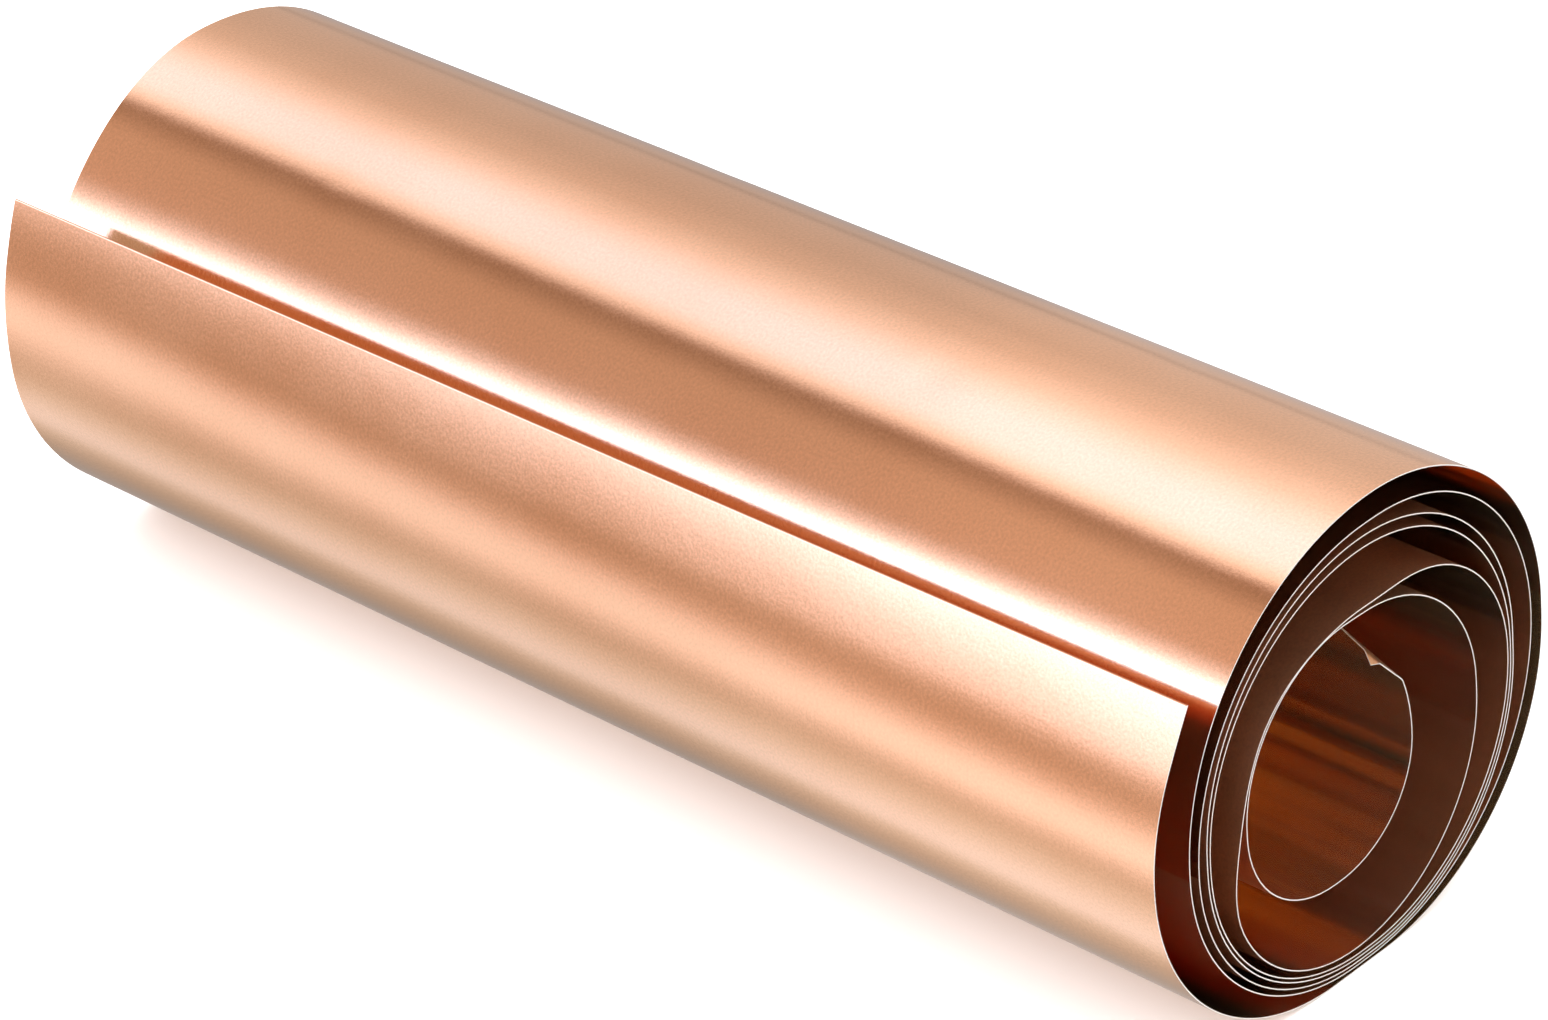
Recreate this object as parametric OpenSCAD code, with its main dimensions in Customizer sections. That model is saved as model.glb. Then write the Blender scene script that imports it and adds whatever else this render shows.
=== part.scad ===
// Loose coil of plain copper sheet, lying on its side.
// The strip is one long piece. It is drawn as stretches that meet at hairline seams, so that the
// outer end can be peeled open, the laps can slide along the roll and the inner end can flex.
// The roll lies along X, Y runs across it and Z is up, with the table at Z = 0.
// Every point of the coil is [across, up] and lies on the middle of the sheet's thickness.

/* [Sheet] */
// Width of the strip, which is the length of the roll
strip_w = 200; // [120:5:305]
// Thickness of the sheet
sheet_t = 0.15; // [0.1:0.01:0.2]
// Hairline between two neighbouring stretches of the strip
seam = 0.02; // [0.01:0.01:0.05]

/* [Underside] */
// Left and right edges of the flattened stretch that the roll rests on
rest_edges = [-5, 4]; // [-6:0.5:5]

/* [Outer flap] */
// The flap's leftmost line, where the sheet stands upright
flap_left = [-35, 30]; // [-36:0.5:31]
// Bend radius of the lip above that line
lip_bend = 34; // [30:1:40]
// How far the lip bends towards the coil, in degrees
lip_turn = 25; // [20:1:30]
// Flat stretch at the free edge of the lip
lip_flat = 8; // [5:0.5:9]

/* [Laps] */
// Lap 1, the outer one: its right, top, left and underside lines
lap_1_lines = [[35, 33], [5, 63], [-29, 28.5], [0, 0.5]]; // [-36:0.5:64]
// Lap 2: its right, top, left and underside lines
lap_2_lines = [[33, 32], [5.5, 59.5], [-27.5, 28], [0.5, 1]]; // [-36:0.5:64]
// Lap 3: its right, top, left and underside lines
lap_3_lines = [[29.5, 28.5], [3, 58], [-26, 27.5], [0.5, 1.5]]; // [-36:0.5:64]
// Lap 4: its right, top, left and underside lines
lap_4_lines = [[29, 28.5], [2.5, 56.5], [-25.5, 27.5], [1, 2]]; // [-36:0.5:64]
// Lap 5, whose top sags away from lap 4: its right, top, left and underside lines
lap_5_lines = [[28.5, 29], [5, 49], [-22, 24], [-1, 3]]; // [-36:0.5:64]
// Lap 6: its right, top and left lines
lap_6_lines = [[22.5, 28], [1.5, 47.5], [-18.5, 29]]; // [-36:0.5:64]

/* [Inner tail] */
// Underside and right lines of the tail, the curl that hangs free inside lap 6
tail_lines = [[-4, 14], [10.5, 27.5]]; // [-18:0.5:30]
// Bend radius of the tail's last bend
tail_bend = 23; // [20:0.5:26]
// How far that bend turns, in degrees
tail_turn = 20; // [15:1:25]
// Flat stretch at the strip's inner end
tail_flat = 6.5; // [5:0.5:8]

/* [Bent corner] */
// Length of the bent corner along the strip's inner end
corner_w = 8; // [6:0.5:12]
// How far the corner is folded inwards, in degrees
corner_fold = 34; // [10:1:40]

/* [Hidden] */

// Each quarter lap is one bend, and a panel of the flap is a quarter of that bend.
quarter_turn = 90;
flap_turn = quarter_turn / 4;
tail_panel_turn = quarter_turn / 2;
// Headings of the strip in degrees, as it winds inwards: rightwards along the table is 0.
rightwards = 0;
upwards = 90;
leftwards = 180;
downwards = 270;
rest_left = [rest_edges[0], 0];
rest_right = [rest_edges[1], 0];
copper = [0.80, 0.50, 0.36];
inner_copper = [0.62, 0.36, 0.24];
burr_copper = [0.88, 0.62, 0.48];
// Arcs are exact, so this only sets how smooth a preview looks.
$fn = 180;

function along(heading) = [cos(heading), sin(heading)];
function inward(heading) = [-sin(heading), cos(heading)];

// How far the strip goes forward and sideways in the quarter turn from one line to the next.
function quarter_step(from, to, heading) =
    [(to - from) * along(heading), (to - from) * inward(heading)];

// The steps of a whole lap, from the underside line it starts at, through its other lines.
function lap_steps(start, lines) = [
    for (i = [0 : len(lines) - 1])
        quarter_step(i == 0 ? start : lines[i - 1], lines[i], upwards * i)
];

// Where a bend ends.
function bend_end(start, heading, radius, turn) =
    start + radius * (inward(heading) - inward(heading + turn));

// The turn that is left when a bend stops one seam short.
function short_of(turn, radius) = turn - seam / radius * 180 / PI;

// Puts a stretch of strip at a point of the coil, with its own X along the strip there.
module place(start, heading) {
    rotate([90, 0, 90])
        translate(start + [0, sheet_t / 2])
            rotate(heading)
                children();
}

// Sheet bent to one radius, between two turns counted from the placed point.
module bend(radius, from, to) {
    translate([0, radius])
        rotate(-90)
            rotate_extrude(angle = to - from, start = from)
                translate([radius, 0])
                    square([sheet_t, strip_w], center = true);
}

module flat_stretch(length) {
    translate([length / 2, 0])
        cube([length, sheet_t, strip_w], center = true);
}

// A row of quarter turns, each starting where the one before ends. A step that is longer one way
// than the other has a flat stretch for the difference. The last turn stops a seam short.
module quarters(steps, i = 0) {
    if (i < len(steps)) {
        radius = min(steps[i]);
        before = steps[i][0] - radius;
        after = steps[i][1] - radius;
        last = i == len(steps) - 1 && after == 0;
        if (before > 0) flat_stretch(before);
        translate([before, 0])
            bend(radius, 0, last ? short_of(quarter_turn, radius) : quarter_turn);
        translate(steps[i])
            rotate(quarter_turn)
                translate([-after, 0]) {
                    if (after > 0) flat_stretch(i < len(steps) - 1 ? after : after - seam);
                    translate([after, 0]) quarters(steps, i + 1);
                }
    }
}

// The flap's quarter runs from its leftmost line down to the flattened underside.
flap_step = quarter_step(flap_left, rest_left, downwards);
flap_radius = min(flap_step);

module outer_lap() {
    color(copper)
        place(rest_left, rightwards) {
            bend(flap_radius, -flap_turn, 0);
            flat_stretch(rest_right[0] - rest_left[0]);
            translate(rest_right - rest_left)
                quarters(lap_steps(rest_right, lap_1_lines));
        }
}

// One panel of the flap. The panels are counted outwards from the underside.
module flap_panel(number) {
    from = quarter_turn - flap_turn * (number + 1);
    color(copper)
        place(flap_left, downwards)
            bend(flap_radius, from, short_of(from + flap_turn, flap_radius));
}

module flap_panel_1() {
    flap_panel(1);
}

module flap_panel_2() {
    flap_panel(2);
}

module flap_panel_3() {
    flap_panel(3);
}

// The lip ends in the strip's outer edge.
module flap_lip() {
    heading = downwards - lip_turn;
    bend_at = flap_left - bend_end([0, 0], heading, lip_bend, lip_turn);
    color(copper)
        place(bend_at - lip_flat * along(heading), heading) {
            flat_stretch(lip_flat);
            translate([lip_flat, 0])
                bend(lip_bend, 0, short_of(lip_turn, lip_bend));
        }
}

// An inner lap, from the underside line of the lap around it to its own last line.
module inner_lap(start, lines) {
    color(inner_copper)
        place(start, rightwards)
            quarters(lap_steps(start, lines));
}

module lap_2() {
    inner_lap(lap_1_lines[3], lap_2_lines);
}

module lap_3() {
    inner_lap(lap_2_lines[3], lap_3_lines);
}

module lap_4() {
    inner_lap(lap_3_lines[3], lap_4_lines);
}

module lap_5() {
    inner_lap(lap_4_lines[3], lap_5_lines);
}

module lap_6() {
    inner_lap(lap_5_lines[3], lap_6_lines);
}

// One panel of the tail: the first or the second half of a quarter turn between two lines. Both
// quarters go further forward than sideways, so the first half starts with a short flat stretch.
module tail_panel(from, to, heading, half) {
    step = quarter_step(from, to, heading);
    radius = min(step);
    before = step[0] - radius;
    start = half * tail_panel_turn;
    end = start + tail_panel_turn;
    color(inner_copper)
        place(from, heading) {
            if (half == 0 && before > 0) flat_stretch(before);
            translate([before, 0])
                bend(radius, start, short_of(end, radius));
        }
}

module tail_panel_1() {
    tail_panel(lap_6_lines[2], tail_lines[0], downwards, 0);
}

module tail_panel_2() {
    tail_panel(lap_6_lines[2], tail_lines[0], downwards, 1);
}

module tail_panel_3() {
    tail_panel(tail_lines[0], tail_lines[1], rightwards, 0);
}

module tail_panel_4() {
    tail_panel(tail_lines[0], tail_lines[1], rightwards, 1);
}

// The fold line slants across the corner of the flat stretch at the strip's inner end.
end_start = bend_end(tail_lines[1], upwards, tail_bend, tail_turn);
end_heading = upwards + tail_turn;
fold_angle = atan2(corner_w, tail_flat);
fold_l = norm([corner_w, tail_flat]);

// Moves to where the fold meets the roll's near face, with X along the fold and Y to the corner.
module at_fold() {
    translate([0, 0, strip_w / 2])
        rotate([90, 0, 0])
            rotate(-fold_angle)
                children();
}

module tail_end() {
    color(inner_copper)
        place(end_start, end_heading) {
            bend(tail_bend, -tail_turn, 0);
            difference() {
                flat_stretch(tail_flat);
                at_fold()
                    translate([-fold_l, 0, -sheet_t])
                        cube([3 * fold_l, fold_l, 2 * sheet_t]);
            }
        }
}

// The corner of the inner end is folded about that line and keeps clear of it by half a thickness.
module bent_corner() {
    tip = tail_flat * along(fold_angle);
    clear = sheet_t / 2;
    color(burr_copper)
        place(end_start, end_heading)
            at_fold()
                rotate([-corner_fold, 0, 0])
                    translate([0, clear, -sheet_t / 2])
                        linear_extrude(sheet_t)
                            polygon([[clear, 0], [fold_l - clear, 0], tip - [0, clear]]);
}

outer_lap();
flap_panel_1();
flap_panel_2();
flap_panel_3();
flap_lip();
lap_2();
lap_3();
lap_4();
lap_5();
lap_6();
tail_panel_1();
tail_panel_2();
tail_panel_3();
tail_panel_4();
tail_end();
bent_corner();
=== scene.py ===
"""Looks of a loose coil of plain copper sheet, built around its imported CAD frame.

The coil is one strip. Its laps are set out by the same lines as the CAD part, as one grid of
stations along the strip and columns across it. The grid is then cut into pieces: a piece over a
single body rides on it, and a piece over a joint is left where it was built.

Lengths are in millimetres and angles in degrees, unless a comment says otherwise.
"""
import math

import bpy
import numpy as np
from mathutils import Euler, Matrix, Vector


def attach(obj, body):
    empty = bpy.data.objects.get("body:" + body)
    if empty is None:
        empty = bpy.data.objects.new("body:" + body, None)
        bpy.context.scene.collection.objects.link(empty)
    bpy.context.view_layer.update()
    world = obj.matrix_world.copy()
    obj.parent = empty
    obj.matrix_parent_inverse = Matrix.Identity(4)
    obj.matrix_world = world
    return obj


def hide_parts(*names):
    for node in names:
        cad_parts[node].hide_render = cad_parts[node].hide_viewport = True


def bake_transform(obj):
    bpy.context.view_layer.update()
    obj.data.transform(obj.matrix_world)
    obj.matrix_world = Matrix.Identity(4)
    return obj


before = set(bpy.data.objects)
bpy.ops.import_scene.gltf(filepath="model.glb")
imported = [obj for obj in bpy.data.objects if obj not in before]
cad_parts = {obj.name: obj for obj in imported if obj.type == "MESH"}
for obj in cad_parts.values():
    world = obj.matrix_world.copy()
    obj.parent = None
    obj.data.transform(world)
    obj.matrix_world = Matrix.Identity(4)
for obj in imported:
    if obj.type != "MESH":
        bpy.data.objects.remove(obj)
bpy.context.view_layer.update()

MM = 0.001

# The strip, as the CAD part has it. Points are (across, up) on the middle of the sheet's
# thickness, counted from the middle of the sheet under the roll.
STRIP_W = 200.0
SHEET_T = 0.15
REST_LEFT = (-5.0, 0.0)
REST_RIGHT = (4.0, 0.0)
FLAP_LEFT = (-35.0, 30.0)
LIP_BEND = 34.0
LIP_TURN = 25.0
LAPS = (
    ((35, 33), (5, 63), (-29, 28.5), (0, 0.5)),
    ((33, 32), (5.5, 59.5), (-27.5, 28), (0.5, 1)),
    ((29.5, 28.5), (3, 58), (-26, 27.5), (0.5, 1.5)),
    ((29, 28.5), (2.5, 56.5), (-25.5, 27.5), (1, 2)),
    ((28.5, 29), (5, 49), (-22, 24), (-1, 3)),
    ((22.5, 28), (1.5, 47.5), (-18.5, 29), (-4, 14)),
)
LAP_MARKS = ("right", "top", "left", "under")
TAIL_RIGHT = (10.5, 27.5)
TAIL_BEND = 23.0
TAIL_TURN = 20.0
TAIL_FLAT = 6.5
TAIL_PANELS = 4
CORNER_W = 8.0

# Where the looks go further than CAD: the lip's free edge is a little longer and is bent, and the
# corner is folded less, with its very tip folded once more. The tip's fold runs from a place on
# the near rim to a place on the strip's inner end, both counted from the corner.
LIP_EDGE = 8.35
LIP_EDGE_TURN = 4.0
CORNER_FOLD = 28.0
TIP_RIM = 1.2
TIP_END = 2.0
TIP_FOLD = 44.0

QUARTER = 90.0
PANEL = QUARTER / 4
DOWN = 270.0

# Spacing of the grid.
OUTER_STEP = 1.2
INNER_STEP = 1.6
CORNER_STEP = 0.4
FOLD_STEPS = 20
COLUMN_STEP = 2.5
EDGE_COLUMNS = (0.4, 1.2, 2.4)
# Decimals that stations and columns are rounded to, so that two at the same place become one.
STATION_DECIMALS = 6
COLUMN_DECIMALS = 4
SAME_STATION = 10 ** -STATION_DECIMALS
# The free edge of the flap looks rolled over a little by the cut: its width and tilt.
FREE_EDGE_ROUND = 0.25
FREE_EDGE_TILT = 0.55


# ---------------------------------------------------------------- the strip's path

def along(heading):
    a = math.radians(heading)
    return np.array([math.cos(a), math.sin(a)])


def inward(heading):
    a = math.radians(heading)
    return np.array([-math.sin(a), math.cos(a)])


class Path:
    """Flats and bends in a row, with the distance along the strip at each named line."""

    def __init__(self, start, heading):
        self.runs = []
        self.marks = {}
        self.at = 0.0
        self.point = np.array(start, float)
        self.heading = heading

    def flat(self, length):
        if length > 0:
            self.runs.append((self.at, 0.0, self.point, self.heading))
            self.point = self.point + length * along(self.heading)
            self.at += length

    def bend(self, radius, turn):
        self.runs.append((self.at, 1 / radius, self.point, self.heading))
        self.point = self.point + radius * (inward(self.heading) - inward(self.heading + turn))
        self.heading += turn
        self.at += radius * math.radians(turn)

    def quarter(self, to):
        """A quarter turn to the next line, with a flat for whichever way is longer."""
        step = np.array(to, float) - self.point
        forward = step @ along(self.heading)
        sideways = step @ inward(self.heading)
        radius = min(forward, sideways)
        self.flat(forward - radius)
        self.bend(radius, QUARTER)
        self.flat(sideways - radius)

    def mark(self, name):
        self.marks[name] = self.at

    def sample(self, places):
        """Points and headings at distances along the strip."""
        starts = np.array([run[0] for run in self.runs])
        which = np.clip(np.searchsorted(starts, places, side="right") - 1, 0, len(starts) - 1)
        points = np.empty((len(places), 2))
        headings = np.empty(len(places))
        for i, (place, run) in enumerate(zip(places, which)):
            start, curve, point, heading = self.runs[run]
            past = place - start
            if curve:
                headings[i] = heading + math.degrees(past * curve)
                points[i] = point + (inward(heading) - inward(headings[i])) / curve
            else:
                headings[i] = heading
                points[i] = point + past * along(heading)
        return points, headings


def back_from(end, radius, heading, turn):
    """Where a bend starts, from where it ends."""
    return np.array(end, float) - radius * (inward(heading) - inward(heading + turn))


def strip_path():
    """The strip from its outer free edge to its inner end."""
    lip_heading = DOWN - LIP_TURN
    edge_heading = lip_heading - LIP_EDGE_TURN
    edge_radius = LIP_EDGE / math.radians(LIP_EDGE_TURN)
    lip_start = back_from(FLAP_LEFT, LIP_BEND, lip_heading, LIP_TURN)
    free_edge = back_from(lip_start, edge_radius, edge_heading, LIP_EDGE_TURN)
    path = Path(free_edge, edge_heading)
    path.bend(edge_radius, LIP_EDGE_TURN)
    path.mark("lip")
    path.bend(LIP_BEND, LIP_TURN)
    path.mark("flap_left")
    path.quarter(REST_LEFT)
    path.mark("rest_left")
    path.flat(REST_RIGHT[0] - REST_LEFT[0])
    path.heading = 0.0
    for number, lines in enumerate(LAPS, 1):
        for name, line in zip(LAP_MARKS, lines):
            path.quarter(line)
            path.mark(f"{name}_{number}")
    path.quarter(TAIL_RIGHT)
    path.mark("tail_right")
    path.bend(TAIL_BEND, TAIL_TURN)
    path.mark("tail_flat")
    path.flat(TAIL_FLAT)
    path.mark("end")
    return path


path = strip_path()
mark = path.marks


def between(a, b, share):
    return mark[a] + share * (mark[b] - mark[a])


def flap_station(panels):
    """A place on the flap's quarter, so many panels down from its leftmost line."""
    return between("flap_left", "rest_left", panels * PANEL / QUARTER)


# ---------------------------------------------------------------- the grid

# Where the strip is cut into pieces, as distances along it. These three stand off a named line.
LIP_CUT_PAST = 4.0
TAIL_ROOT_BEFORE = 6.0
TAIL_TIP_PAST = 5.0
CUTS = {
    "free_edge": 0.0,
    "lip_middle": mark["lip"] + LIP_CUT_PAST,
    "panel_3_middle": flap_station(0.5),
    "panel_2_middle": flap_station(1.5),
    "panel_1_middle": flap_station(2.5),
    "flap_root": flap_station(3.5),
    "tail_root": mark["left_6"] - TAIL_ROOT_BEFORE,
    "tail_1_middle": between("left_6", "under_6", 0.25),
    "tail_2_middle": between("left_6", "under_6", 0.75),
    "tail_3_middle": between("under_6", "tail_right", 0.25),
    "tail_4_middle": between("under_6", "tail_right", 0.75),
    "tail_tip": mark["tail_right"] + TAIL_TIP_PAST,
    "end": mark["end"],
}
for number in range(1, len(LAPS) + 1):
    CUTS[f"left_{number}"] = mark[f"left_{number}"]
    CUTS[f"right_{number}"] = mark[f"right_{number}"]


def grid_step(start, end):
    """How far apart stations are between two cuts."""
    if start >= mark["tail_right"]:
        return CORNER_STEP
    if end <= mark["left_1"] + SAME_STATION:
        return OUTER_STEP
    return INNER_STEP


def stations():
    """Distances along the strip, with every cut among them."""
    cuts = [*CUTS.values(), mark["rest_left"]]
    stops = sorted({round(cut, STATION_DECIMALS) for cut in cuts})
    stops[0] = FREE_EDGE_ROUND
    rows = [0.0, FREE_EDGE_ROUND]
    for a, b in zip(stops[:-1], stops[1:]):
        n = max(1, math.ceil((b - a) / grid_step(a, b)))
        rows += list(a + (b - a) * np.arange(1, n + 1) / n)
    return np.array(rows)


def columns():
    """Places across the strip, closer near its edges and along the corner's fold."""
    half = STRIP_W / 2
    inner = half - EDGE_COLUMNS[-1]
    n = math.ceil(2 * inner / COLUMN_STEP)
    middle = np.linspace(-inner, inner, n + 1)
    near = [half - e for e in reversed(EDGE_COLUMNS[:-1])] + [half]
    fold = half - CORNER_W * np.arange(0, FOLD_STEPS + 1) / FOLD_STEPS
    every = np.concatenate([[-v for v in near], middle, near, fold])
    return np.unique(np.round(every, COLUMN_DECIMALS))


S = stations()
X = columns()
POINTS, HEADINGS = path.sample(S)


# ---------------------------------------------------------------- the sheet's unevenness

# Shallow unevenness of hand-wound sheet: its depth, its mean and the shares of long and short
# waves in it. A wave is a product of sines, each with a run along, a run across and a phase.
WAVE_DEPTH = 0.09
WAVE_MEAN = 0.5
LONG_SHARE = 0.32
LONG_WAVE = ((17.0, 61.0, 0.0), (90.0, 23.0, 0.7))
SHORT_SHARE = 0.1
SHORT_WAVE = ((6.1, -19.0, 1.3), (31.0, 9.3, 0.0))
# It leaves out the stretch that the roll rests on, and fades in beside it.
WAVE_FADE = 30.0
WAVE_CLEAR = 0.6

# Small dents in the outer lap: along the strip from its top line, across, size and depth.
DENTS = (
    (-14.0, 62.0, 3.0, 0.05), (-6.0, 84.0, 2.2, 0.05), (9.0, 41.0, 2.6, 0.035),
    (-20.0, -22.0, 3.4, 0.04), (15.0, -58.0, 2.8, 0.035), (24.0, 12.0, 2.4, 0.03),
)

# How far the flap's edge stands off at mid-length, and how much more at one end than the other.
FLARE_MIDDLE = 0.8
FLARE_SLOPE = 2.4

# How far the outer lap bulges behind its top and flattens in front of it, at the far end.
FAR_SHOULDER = 0.96
FAR_HOLLOW = 1.25

# Where two inner laps lean on each other: a line, how far past it, half length and how far out.
LEANS = (
    ("left_6", -13.0, 44.0, 0.75), ("top_5", 0.0, 16.0, -0.35),
    ("left_5", -23.0, 9.0, 0.3), ("left_5", -6.0, 14.0, -1.2),
)


def smooth(t):
    t = np.clip(t, 0.0, 1.0)
    return t * t * (3 - 2 * t)


def wave(s, x, sines):
    product = 1.0
    for run_along, run_across, phase in sines:
        product = product * np.sin(s / run_along + x / run_across + phase)
    return product


def waves(s, x):
    """The sheet's unevenness, inwards only."""
    level = WAVE_MEAN - LONG_SHARE * wave(s, x, LONG_WAVE) - SHORT_SHARE * wave(s, x, SHORT_WAVE)
    under = between("rest_left", "right_1", 0.5)
    return -WAVE_DEPTH * level * smooth(np.abs(s - under) / WAVE_FADE - WAVE_CLEAR)


def dents(s, x):
    depth = np.zeros(np.broadcast(s, x).shape)
    for place, across, size, deep in DENTS:
        far = ((s - mark["top_1"] - place) ** 2 + (x - across) ** 2) / size ** 2
        depth -= deep * np.exp(-far)
    return depth


def flare(s, x):
    """The free flap stands off a little more towards the far end."""
    up = np.clip(1 - s / mark["flap_left"], 0.0, 1.0)
    return (FLARE_MIDDLE - FLARE_SLOPE * x / STRIP_W) * up * up * (2 - up)


def arch(s, a, b):
    """Rises from nothing at one line to 1 halfway, and falls to nothing at the other."""
    share = np.clip((s - mark[a]) / (mark[b] - mark[a]), 0.0, 1.0)
    return np.sin(np.pi * share) ** 2


def far_end(s, x):
    """The outer lap is not quite round: this grows from the near end to the far end."""
    far = (STRIP_W / 2 - x) / STRIP_W
    shoulder = FAR_SHOULDER * arch(s, "right_1", "top_1")
    hollow = FAR_HOLLOW * arch(s, "top_1", "left_1")
    return far * (shoulder - hollow)


def leans(s):
    out = np.zeros_like(s)
    for line, past, half, amount in LEANS:
        near = np.clip(np.abs(s - mark[line] - past) / half, 0.0, 1.0)
        out += amount * np.cos(0.5 * np.pi * near) ** 2
    return out


def fold(surface, normal, start, rim, end, turn):
    """Folds the near corner inwards about a line, from the near rim at a station to the end."""
    heading = np.radians(HEADINGS)
    tangent = np.stack([0 * heading, np.cos(heading), np.sin(heading)], -1)[:, None, :]
    s = (S - start)[:, None]
    x = (STRIP_W / 2 - X)[None, :]
    long_side = math.hypot(rim, end)
    beyond = np.where(s > 0, np.maximum((s * end - x * rim) / long_side, 0.0), 0.0)[..., None]
    sideways = np.array([rim / long_side, 0.0, 0.0])
    drawn = beyond * (1 - math.cos(math.radians(turn)))
    sunk = beyond * math.sin(math.radians(turn))
    return surface - normal * sunk - (tangent * end / long_side + sideways) * drawn


def fold_corner(surface, normal):
    """The corner of the inner end is folded inwards, and its very tip is folded once more."""
    surface = fold(surface, normal, mark["tail_flat"], TAIL_FLAT, CORNER_W, CORNER_FOLD)
    return fold(surface, normal, mark["end"] - TIP_RIM, TIP_RIM, TIP_END, TIP_FOLD)


def surface_normals(surface, outward):
    """Unit normals of the uneven sheet, tilted over at the flap's free edge."""
    ds = np.gradient(surface, S, axis=0)
    dx = np.gradient(surface, X, axis=1)
    n = np.cross(ds, dx)
    n /= np.linalg.norm(n, axis=-1, keepdims=True)
    if (n * outward).sum(-1).mean() < 0:
        n = -n
    rolled = n[0] - FREE_EDGE_TILT * ds[0]
    n[0] = rolled / np.linalg.norm(rolled, axis=-1, keepdims=True)
    return n


def grid():
    """The middle surface of the whole strip and its outward normals."""
    s = S[:, None]
    x = X[None, :]
    heading = np.radians(HEADINGS)[:, None]
    out_y = np.sin(heading) + 0 * x
    out_z = -np.cos(heading) + 0 * x
    outward = np.stack([0 * out_y, out_y, out_z], -1)
    even = np.stack([x + 0 * s, POINTS[:, :1] + 0 * x, POINTS[:, 1:] + 0 * x], -1)
    uneven = waves(s, x) + dents(s, x) + flare(s, x) + far_end(s, x) + leans(s)
    surface = fold_corner(even + outward * uneven[..., None], outward)
    surface[..., 2] += SHEET_T / 2
    return surface, surface_normals(surface, outward)


SURFACE, NORMAL = grid()


# ---------------------------------------------------------------- materials

# Noises on the strip: scale per metre, detail and roughness. Streaks are drawn out along the roll.
CLOUD = (28.0, 4.0, 0.55)
STREAKS = (90.0, 4.0, 0.55)
STREAK_STRETCH = 0.06
SPECKLE = (2400.0, 3.0, 0.65)
PEEL = (260.0, 2.0, 0.55)
# Noise levels of the dark and the light tone, and of the dark, the plain and the light flecks.
TONE_STOPS = (0.3, 0.62)
FLECK_STOPS = (0.32, 0.5, 0.7)
# Sums of cloud and speckle between which the gloss goes from its low to its high roughness.
GLOSS_STOPS = (0.7, 1.3)
# Heights of the speckle and of the softer peel over it, in metres.
SPECKLE_HEIGHT = 0.00004
PEEL_HEIGHT = 0.00008
SHEEN_TINT = (1.0, 0.93, 0.86, 1.0)


def new_material(name):
    mat = bpy.data.materials.new(name)
    mat.use_nodes = True
    mat.node_tree.nodes.clear()
    return mat


def add_node(mat, kind, links=(), **values):
    """A node with its sockets set by name, and links as (socket, other node, other's output)."""
    node = mat.node_tree.nodes.new(kind)
    for key, value in values.items():
        if hasattr(node, key):
            setattr(node, key, value)
        else:
            node.inputs[key.replace("_", " ")].default_value = value
    for socket, other, output in links:
        mat.node_tree.links.new(other.outputs[output], node.inputs[socket])
    return node


def add_shader(mat, links=(), **values):
    """The shader of a material, with its output."""
    shader = add_node(mat, "ShaderNodeBsdfPrincipled", links, **values)
    add_node(mat, "ShaderNodeOutputMaterial", [("Surface", shader, "BSDF")])


def sheet_place(mat, across_scale=1.0):
    """The place on the strip in metres, stretched by a scale across it."""
    uv = add_node(mat, "ShaderNodeUVMap", uv_map="strip")
    return add_node(mat, "ShaderNodeMapping", [("Vector", uv, "UV")], Scale=(1.0, across_scale, 1.0))


def noise(mat, place, scale, detail, rough):
    links = [("Vector", place, "Vector")]
    return add_node(mat, "ShaderNodeTexNoise", links, Scale=scale, Detail=detail, Roughness=rough)


def ramp(mat, source, positions, colours):
    node = add_node(mat, "ShaderNodeValToRGB", [("Fac", source, 0)])
    elements = node.color_ramp.elements
    for element, end in ((elements[0], 0), (elements[1], -1)):
        element.position = positions[end]
        element.color = (*colours[end], 1)
    for position, colour in zip(positions[1:-1], colours[1:-1]):
        elements.new(position).color = (*colour, 1)
    return node


def grey(value):
    return (value, value, value)


def flecked_tone(mat, cloud, speckle, light, dark, fleck):
    """Cloudy tarnish between two tones, with fine flecks over it."""
    tone = ramp(mat, cloud, TONE_STOPS, (dark, light))
    flecks = ramp(mat, speckle, FLECK_STOPS, (grey(1 - fleck), grey(1.0), grey(1 + fleck)))
    links = [("A", tone, "Color"), ("B", flecks, "Color")]
    return add_node(mat, "ShaderNodeMix", links, data_type="RGBA", blend_type="MULTIPLY", Factor=1.0)


def uneven_gloss(mat, cloud, speckle, rough):
    """Roughness that follows the tarnish and the speckle, from a low to a high value."""
    mixed = add_node(mat, "ShaderNodeMath", [(0, cloud, 0), (1, speckle, 0)], operation="ADD")
    links = [("Value", mixed, 0)]
    return add_node(mat, "ShaderNodeMapRange", links, From_Min=GLOSS_STOPS[0],
                    From_Max=GLOSS_STOPS[1], To_Min=rough[0], To_Max=rough[1])


def grained(mat, place, speckle, grain):
    """The sheet's grain: fine speckle, and a softer unevenness over it."""
    peel = noise(mat, place, *PEEL)
    fine = add_node(mat, "ShaderNodeBump", [("Height", speckle, 0)], Strength=grain,
                    Distance=SPECKLE_HEIGHT)
    links = [("Height", peel, 0), ("Normal", fine, "Normal")]
    return add_node(mat, "ShaderNodeBump", links, Strength=grain, Distance=PEEL_HEIGHT)


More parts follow.
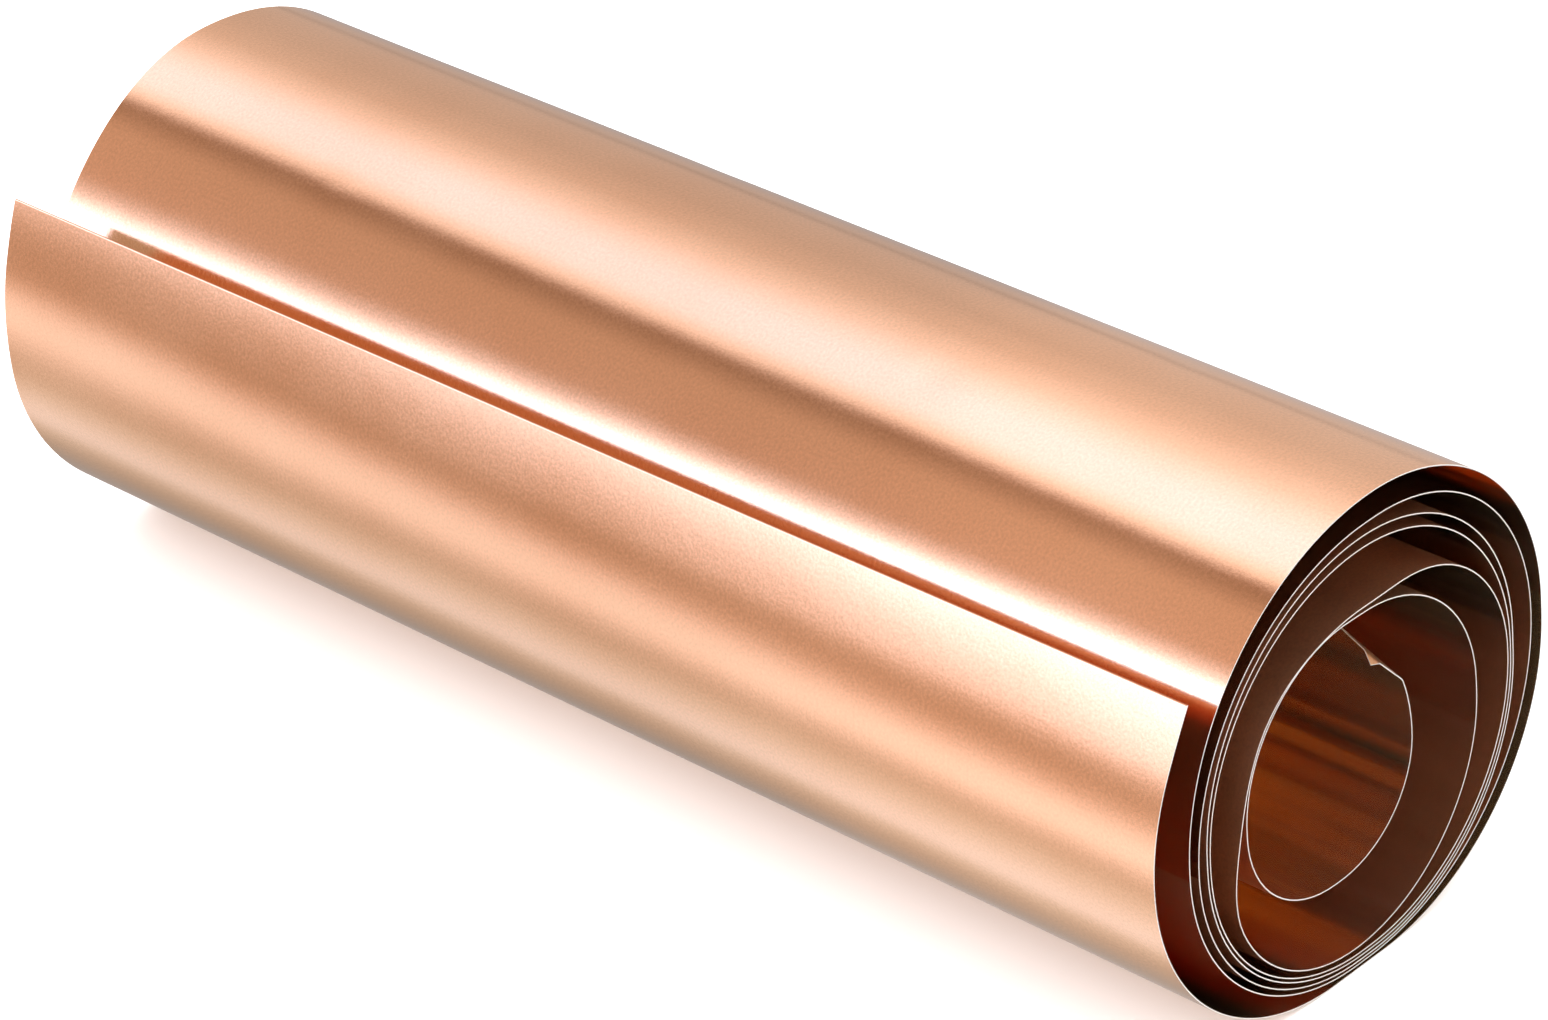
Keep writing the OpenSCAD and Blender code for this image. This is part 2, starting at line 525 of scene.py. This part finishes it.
def copper(name, light, dark, rough, grain, fleck=0.08, metal=1.0, streaked=False):
    """Rolled copper: cloudy or streaky tarnish, fine flecks, uneven gloss and a slight grain."""
    mat = new_material(name)
    place = sheet_place(mat)
    if streaked:
        cloud = noise(mat, sheet_place(mat, STREAK_STRETCH), *STREAKS)
    else:
        cloud = noise(mat, place, *CLOUD)
    speckle = noise(mat, place, *SPECKLE)
    colour = flecked_tone(mat, cloud, speckle, light, dark, fleck)
    gloss = uneven_gloss(mat, cloud, speckle, rough)
    normal = grained(mat, place, speckle, grain)
    links = [("Base Color", colour, "Result"), ("Roughness", gloss, "Result"),
             ("Normal", normal, "Normal")]
    add_shader(mat, links, Metallic=metal, Specular_Tint=SHEEN_TINT)
    return mat


# The outer face of the roll, and the flap with its own slightly duller face.
OUTER = copper("outer_copper", light=(0.94, 0.58, 0.41), dark=(0.91, 0.54, 0.37),
               rough=(0.1, 0.15), grain=0.1)
FLAP = copper("flap_copper", light=(0.95, 0.58, 0.42), dark=(0.92, 0.54, 0.38),
              rough=(0.15, 0.2), grain=0.2)
# The outward faces of the inner laps, and the smoother inward faces that line the bore. Light
# bounces many times in there, so its copper is paler than what is seen.
INNER = copper("inner_copper", light=(0.96, 0.60, 0.38), dark=(0.92, 0.55, 0.34),
               rough=(0.30, 0.38), grain=0.08)
INSIDE = copper("inside_copper", light=(0.94, 0.78, 0.56), dark=(0.80, 0.66, 0.45),
                rough=(0.08, 0.14), grain=0.01, fleck=0.02, metal=0.985, streaked=True)
# The two faces on either side of the gap under the flap. The flap's back is given a darker copper
# than the lap's face: painted shade that darkens the gap.
BEHIND_FLAP = copper("behind_flap_copper", light=(0.93, 0.75, 0.54), dark=(0.90, 0.71, 0.50),
                     rough=(0.1, 0.17), grain=0.03, fleck=0.03, metal=0.985, streaked=True)
FLAP_BACK_SHADE = copper("flap_back_painted_shade", light=(0.87, 0.69, 0.48), dark=(0.84, 0.65, 0.44),
                   rough=(0.1, 0.17), grain=0.03, fleck=0.03, metal=0.985, streaked=True)
# The rough edge that the shears left all round the strip. Its whitish, less metallic copper is a
# painted highlight, so the rims show as bright lines.
CUT_EDGE_HIGHLIGHT = copper("cut_edge_painted_highlight", light=(1.0, 0.94, 0.89), dark=(0.98, 0.90, 0.84),
              rough=(0.3, 0.45), grain=0.2, metal=0.7)


# ---------------------------------------------------------------- pieces

# Material of each group of faces, in the order of sheet_faces: skin, lining and four cut edges.
FACE_MATERIALS = (0, 1, 2, 2, 2, 2)


def row_of(cut):
    return int(np.argmin(np.abs(S - CUTS[cut])))


def rim(line, count, flip=False):
    """Quads along a rim of the sheet, from the outer face's vertices to the inner face's."""
    a, b = (line[1:], line[:-1]) if flip else (line[:-1], line[1:])
    return np.stack([a, b, b + count, a + count], -1)


def sheet_faces(rows, cols):
    """Quads of a closed sheet: outer face, inner face, far rim, near rim, first and last rows."""
    count = rows * cols
    index = np.arange(count).reshape(rows, cols)
    p, q, r, t = index[:-1, :-1], index[1:, :-1], index[1:, 1:], index[:-1, 1:]
    outer = np.stack([p, q, r, t], -1).reshape(-1, 4)
    inner = np.stack([p, t, r, q], -1).reshape(-1, 4) + count
    far = rim(index[:, 0], count, flip=True)
    near = rim(index[:, -1], count)
    first = rim(index[0], count)
    last = rim(index[-1], count, flip=True)
    return outer, inner, far, near, first, last


def corner_normals(groups, mid, n):
    """Normals of every face's corners: the strip's own, turned outwards on its rims."""
    tangent = np.gradient(mid, axis=0)
    tangent /= np.linalg.norm(tangent, axis=-1, keepdims=True)
    tangent = np.concatenate([tangent.reshape(-1, 3)] * 2)
    across = np.tile([1.0, 0.0, 0.0], (len(tangent), 1))
    own = np.concatenate([n.reshape(-1, 3), -n.reshape(-1, 3)])
    turned = (own, own, own - across, own + across, own - tangent, own + tangent)
    corners = np.concatenate([each[quads.reshape(-1)] for quads, each in zip(groups, turned)])
    return corners / np.linalg.norm(corners, axis=-1, keepdims=True)


def lay_out(mesh, a, b, faces):
    """The sheet laid flat, in metres: distance along the strip and place across it."""
    place = np.stack(np.broadcast_arrays(S[a:b + 1, None], X[None, :]), -1).reshape(-1, 2) * MM
    place = np.concatenate([place, place])
    layer = mesh.uv_layers.new(name="strip")
    layer.data.foreach_set("uv", place[faces.reshape(-1)].astype(np.float32).ravel())


def sheet_piece(name, first, last, skin, lining):
    """A closed piece of the sheet between two cuts, with the strip's own normals."""
    a, b = row_of(first), row_of(last)
    mid, n = SURFACE[a:b + 1], NORMAL[a:b + 1]
    outer = mid + n * SHEET_T / 2
    inner = mid - n * SHEET_T / 2
    verts = np.concatenate([outer.reshape(-1, 3), inner.reshape(-1, 3)])
    verts[:, 0] = np.clip(verts[:, 0], -STRIP_W / 2, STRIP_W / 2)
    groups = sheet_faces(*mid.shape[:2])
    faces = np.concatenate(groups)
    mesh = bpy.data.meshes.new(name)
    mesh.from_pydata((verts * MM).tolist(), [], faces.tolist())
    lay_out(mesh, a, b, faces)
    # The rims get the cut edge's copper, with its painted highlight.
    for each in (skin, lining, CUT_EDGE_HIGHLIGHT):
        mesh.materials.append(each)
    which = np.repeat(FACE_MATERIALS, [len(quads) for quads in groups])
    mesh.polygons.foreach_set("material_index", which.astype(np.int32))
    mesh.update()
    mesh.normals_split_custom_set(corner_normals(groups, mid, n).tolist())
    piece = bpy.data.objects.new(name, mesh)
    bpy.context.scene.collection.objects.link(piece)
    return piece


def riding(name, first, last, skins, body, slot, *nodes):
    """A piece that moves with one body."""
    piece = sheet_piece(name, first, last, *skins)
    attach(piece, body)
    if nodes:
        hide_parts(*nodes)


def bending(name, first, last, skins, body_first, body_last, slot, *nodes):
    """A piece between two cuts, left where it was built. Its two bodies are not used."""
    piece = sheet_piece(name, first, last, *skins)
    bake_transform(piece)
    if nodes:
        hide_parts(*nodes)


def build_flap():
    # The flap's back carries the darker copper, painted shade for the gap under the flap.
    skins = (FLAP, FLAP_BACK_SHADE)
    riding("lip_edge", "free_edge", "lip_middle", skins, "lip", "outer_copper", "flap_lip")
    bends = (
        ("flap_bend_4", "lip_middle", "panel_3_middle", "lip", "flap_3", "flap_panel_3"),
        ("flap_bend_3", "panel_3_middle", "panel_2_middle", "flap_3", "flap_2", "flap_panel_2"),
        ("flap_bend_2", "panel_2_middle", "panel_1_middle", "flap_2", "flap_1", "flap_panel_1"),
        ("flap_bend_1", "panel_1_middle", "flap_root", "flap_1", "coil"),
    )
    for name, first, last, body_first, body_last, *nodes in bends:
        bending(name, first, last, skins, body_first, body_last, "outer_copper", *nodes)


def build_laps():
    riding("outer_wrap", "flap_root", "left_1", (OUTER, INSIDE), "coil", "outer_copper", "outer_lap")
    body = "coil"
    for number in range(2, len(LAPS) + 1):
        lap = f"lap_{number}"
        before, right = f"left_{number - 1}", f"right_{number}"
        last = "tail_root" if number == len(LAPS) else f"left_{number}"
        over = (OUTER if number == 2 else INNER, INSIDE)
        under = (BEHIND_FLAP if number == 2 else INNER, INSIDE)
        bending(f"wrap_{number}_under", before, right, under, body, lap, "inner_copper")
        riding(f"wrap_{number}_over", right, last, over, lap, "inner_copper", lap)
        body = lap


def build_tail():
    panels = range(1, TAIL_PANELS + 1)
    bodies = ["lap_6", *(f"tail_{i}" for i in panels), "tail_end"]
    cuts = ["tail_root", *(f"tail_{i}_middle" for i in panels), "tail_tip"]
    skins = (INNER, INSIDE)
    for i in range(TAIL_PANELS + 1):
        nodes = (f"tail_panel_{i + 1}",) if i < TAIL_PANELS else ()
        bending(f"tail_bend_{i + 1}", cuts[i], cuts[i + 1], skins, bodies[i], bodies[i + 1],
                "inner_copper", *nodes)
    riding("tail_edge", "tail_tip", "end", skins, "tail_end", "inner_copper",
           "tail_end", "bent_corner")


# ---------------------------------------------------------------- studio, in metres

FLOOR_SIZE = 6.0
FLOOR_WHITE = 0.93
FLOOR_ROUGH = 0.9
WORLD_LIGHT = 2.4
# Enough for the light that goes deep into the bore.
LIGHT_BOUNCES = 20

# The camera at the photo's viewing angle: its place, and its turns about X, Y and Z in degrees.
CAMERA_PLACE = (0.469758, -0.430776, 0.416377)
CAMERA_TURNS = (58.36885, 4.97493, 43.9961)
# Its lens and sensor in millimetres, and the nearest and furthest that it sees.
CAMERA_LENS = 138.297
CAMERA_SENSOR = 36.0
CAMERA_CLIP = (0.02, 50.0)

TENT_RADIUS = 0.8
TENT_HEIGHT = 0.03
# Places along X and how much brighter the tent is there. Seen by the photo's camera, the roll
# reflects the places from about -0.74 to -0.54, so only its near end shows the light from -0.57 on.
TENT_ALONG = ((-2.2, 1.5), (-1.2, 1.5), (-0.85, 1.0), (-0.57, 1.0), (-0.53, 1.2), (2.2, 1.2))

# The light tent: direction round the roll, in degrees from the horizon behind it, over the top
# and down to the table in front, with the light that comes from there.
TENT = (
    (-90, (0.50, 0.48, 0.42)),
    (-72, (0.38, 0.40, 0.40)),
    (-50, (0.46, 0.46, 0.46)),
    (-20, (0.47, 0.46, 0.47)),
    (-6, (0.56, 0.54, 0.52)),
    (-2, (0.44, 0.42, 0.40)),
    (2, (0.60, 0.57, 0.54)),
    (28, (0.62, 0.56, 0.50)),
    (44, (0.75, 0.66, 0.58)),
    (58, (1.00, 0.93, 0.88)),
    (68, (1.25, 1.20, 1.30)),
    (78, (1.34, 1.36, 1.62)),
    (90, (1.32, 1.34, 1.55)),
    (97, (1.14, 1.03, 0.95)),
    (102, (0.33, 0.21, 0.14)),
    (105, (0.34, 0.23, 0.15)),
    (108, (0.43, 0.30, 0.21)),
    (114, (0.58, 0.42, 0.30)),
    (134, (0.60, 0.43, 0.32)),
    (139.5, (0.90, 0.85, 0.85)),
    (143, (1.60, 1.60, 1.80)),
    (147, (2.40, 2.60, 3.40)),
    (157, (2.10, 2.20, 2.70)),
    (162, (1.70, 1.90, 2.30)),
    (166, (1.35, 1.40, 1.50)),
    (170, (1.05, 1.00, 0.98)),
    (174, (0.74, 0.58, 0.46)),
    (178, (0.56, 0.42, 0.30)),
    (182, (0.50, 0.36, 0.24)),
    (186, (0.54, 0.39, 0.27)),
    (192, (0.71, 0.56, 0.43)),
    (198, (1.00, 0.90, 0.83)),
    (204, (1.10, 1.08, 1.02)),
    (210, (1.12, 1.06, 1.00)),
    (216, (0.75, 0.67, 0.58)),
    (222, (0.64, 0.57, 0.46)),
    (232, (0.77, 0.76, 0.68)),
    (244, (0.92, 0.98, 1.00)),
    (252, (0.94, 1.02, 1.08)),
    (260, (0.67, 0.67, 0.60)),
    (270, (0.50, 0.48, 0.42)),
)


def make_floor():
    half = FLOOR_SIZE / 2
    mesh = bpy.data.meshes.new("floor")
    corners = [(-half, -half, 0), (half, -half, 0), (half, half, 0), (-half, half, 0)]
    mesh.from_pydata(corners, [], [(0, 1, 2, 3)])
    mat = new_material("floor_white")
    add_shader(mat, Base_Color=(*grey(FLOOR_WHITE), 1), Roughness=FLOOR_ROUGH)
    mesh.materials.append(mat)
    floor = bpy.data.objects.new("floor", mesh)
    bpy.context.scene.collection.objects.link(floor)
    floor.visible_glossy = False


def tent_mesh():
    """A tube of cards along X with two flat ends, and the light of each vertex."""
    verts = []
    lights = []
    for angle, light in TENT:
        a = math.radians(angle)
        y = TENT_RADIUS * math.cos(a)
        z = TENT_HEIGHT + TENT_RADIUS * math.sin(a)
        for x, gain in TENT_ALONG:
            verts.append((x, y, z))
            lights.append((*(gain * v for v in light), 1))
    index = np.arange(len(verts)).reshape(len(TENT), len(TENT_ALONG))
    corners = (index[:-1, :-1], index[:-1, 1:], index[1:, 1:], index[1:, :-1])
    faces = np.stack(corners, -1).reshape(-1, 4).tolist()
    for x, glow in (TENT_ALONG[0], TENT_ALONG[-1]):
        ring = [vert for vert in verts if vert[0] == x]
        faces.append(list(range(len(verts), len(verts) + len(ring))))
        verts += ring
        lights += [(*grey(glow), 1)] * len(ring)
    mesh = bpy.data.meshes.new("light_tent")
    mesh.from_pydata(verts, [], faces)
    colours = mesh.color_attributes.new("light", "FLOAT_COLOR", "POINT")
    colours.data.foreach_set("color", np.array(lights, np.float32).ravel())
    return mesh


def make_tent():
    """Long soft cards all round the roll. Only reflections see them."""
    mesh = tent_mesh()
    mat = new_material("tent_light")
    light = add_node(mat, "ShaderNodeVertexColor", layer_name="light")
    glow = add_node(mat, "ShaderNodeEmission", [("Color", light, "Color")])
    add_node(mat, "ShaderNodeOutputMaterial", [("Surface", glow, "Emission")])
    mesh.materials.append(mat)
    tent = bpy.data.objects.new("light_tent", mesh)
    bpy.context.scene.collection.objects.link(tent)
    tent.visible_camera = False
    tent.visible_diffuse = False
    tent.visible_shadow = False
    tent.visible_transmission = False


def make_world():
    world = bpy.data.worlds.new("studio")
    bpy.context.scene.world = world
    world.use_nodes = True
    background = world.node_tree.nodes["Background"]
    background.inputs["Color"].default_value = (1.0, 1.0, 1.0, 1)
    background.inputs["Strength"].default_value = WORLD_LIGHT


def make_camera():
    data = bpy.data.cameras.new("camera")
    data.sensor_width = CAMERA_SENSOR
    data.lens = CAMERA_LENS
    data.clip_start, data.clip_end = CAMERA_CLIP
    camera = bpy.data.objects.new("camera", data)
    turns = Euler([math.radians(turn) for turn in CAMERA_TURNS])
    camera.matrix_world = Matrix.LocRotScale(Vector(CAMERA_PLACE), turns, None)
    bpy.context.scene.collection.objects.link(camera)
    bpy.context.scene.camera = camera


make_camera()
make_world()
make_floor()
make_tent()
build_flap()
build_laps()
build_tail()
bpy.context.scene.view_settings.view_transform = "Standard"
bpy.context.scene.cycles.max_bounces = LIGHT_BOUNCES
bpy.context.scene.cycles.glossy_bounces = LIGHT_BOUNCES
